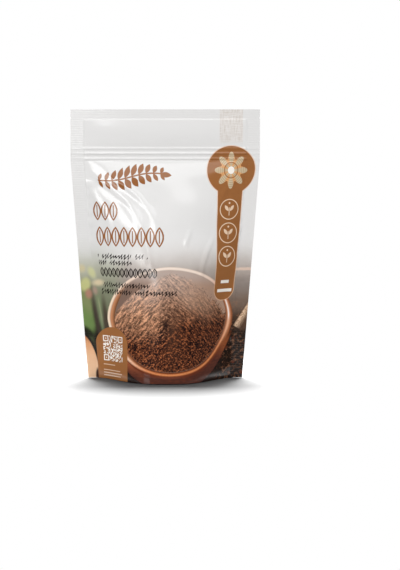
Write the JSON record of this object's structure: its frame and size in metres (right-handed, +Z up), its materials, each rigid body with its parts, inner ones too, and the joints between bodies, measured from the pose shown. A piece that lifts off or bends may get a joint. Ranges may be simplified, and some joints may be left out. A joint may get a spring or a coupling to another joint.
{
  "type": "stand-up zip pouch of ground cloves",
  "caption": "Shut, filled stand-up pouch of printed film, welded flat along the top and down the sides, with a press-to-close strip, bulging over the opened bottom gusset that it stands on.",
  "frame": {"origin": "on the surface that the pouch stands on, under the middle of the pouch", "axes": "+Z up from the gusset to the top seal, +X to the right of the printed front, and the printed front faces -Y"},
  "size_m": [0.14, 0.0674, 0.1995],
  "materials": {
    "film": "satin laminate film, printed: pale at the top, a brown badge stripe, and a warm dark picture of a bowl of powder at the bottom"
  },
  "bodies": {
    "root": {"pouch": "film"}
  },
  "joints": []
}
